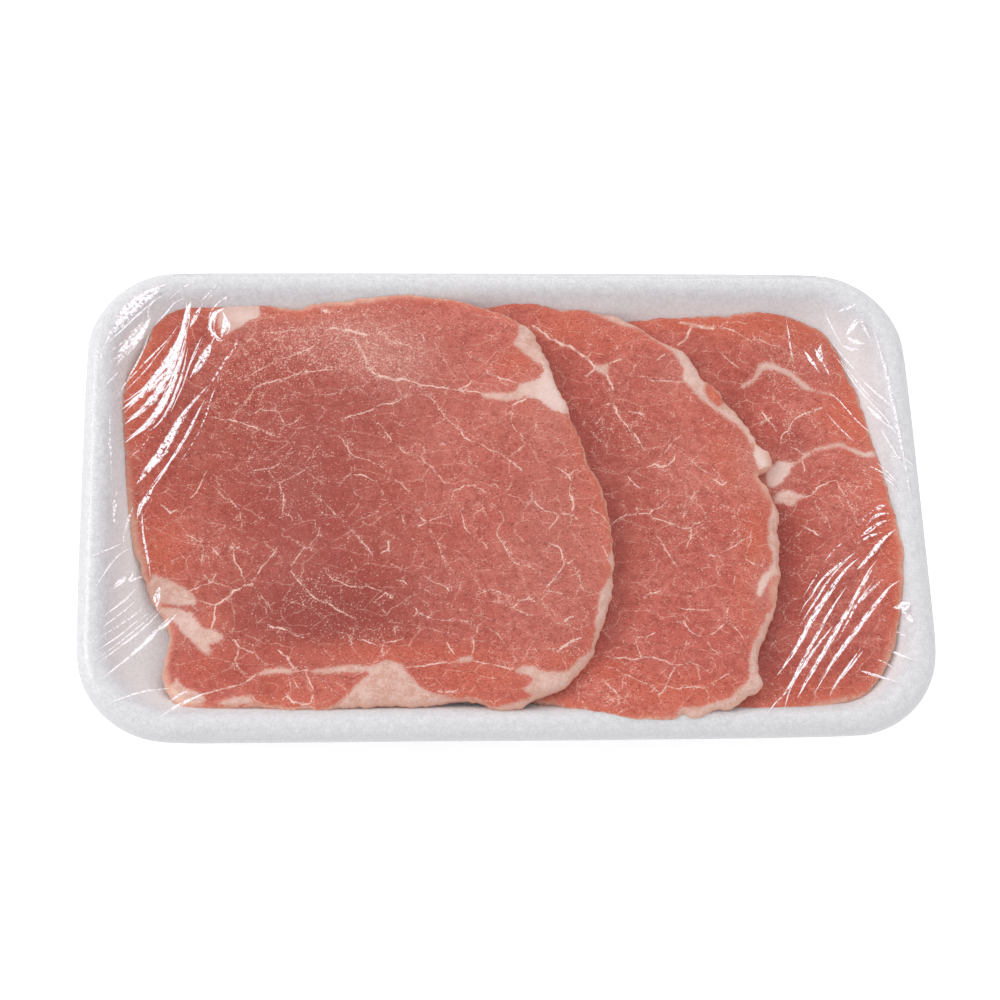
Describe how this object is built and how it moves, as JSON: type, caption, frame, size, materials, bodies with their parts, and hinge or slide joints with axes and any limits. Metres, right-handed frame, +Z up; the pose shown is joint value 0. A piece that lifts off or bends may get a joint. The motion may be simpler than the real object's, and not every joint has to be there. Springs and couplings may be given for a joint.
{
  "type": "meat tray pack",
  "caption": "Shallow white foam tray of raw pork slices laid overlapping, closed with clear stretch film drawn over the rim and folded beneath.",
  "frame": {"origin": "middle of the pack's underside, in plan the middle of the tray", "axes": "+X along the long side to the lowest slice's open end, +Y from the front long side to the back one, +Z up out of the tray"},
  "size_m": [0.2266, 0.1366, 0.0255],
  "materials": {
    "foam": "white expanded foam with a fine bead texture, satin",
    "meat": "raw pork, moist red lean with pale fat edges and fine marbling",
    "film": "clear glossy stretch film with drawn creases at the corners"
  },
  "bodies": {
    "root": {"tray": "foam", "slice_right": "meat", "slice_middle": "meat", "slice_left": "meat", "film": "film"}
  },
  "joints": []
}
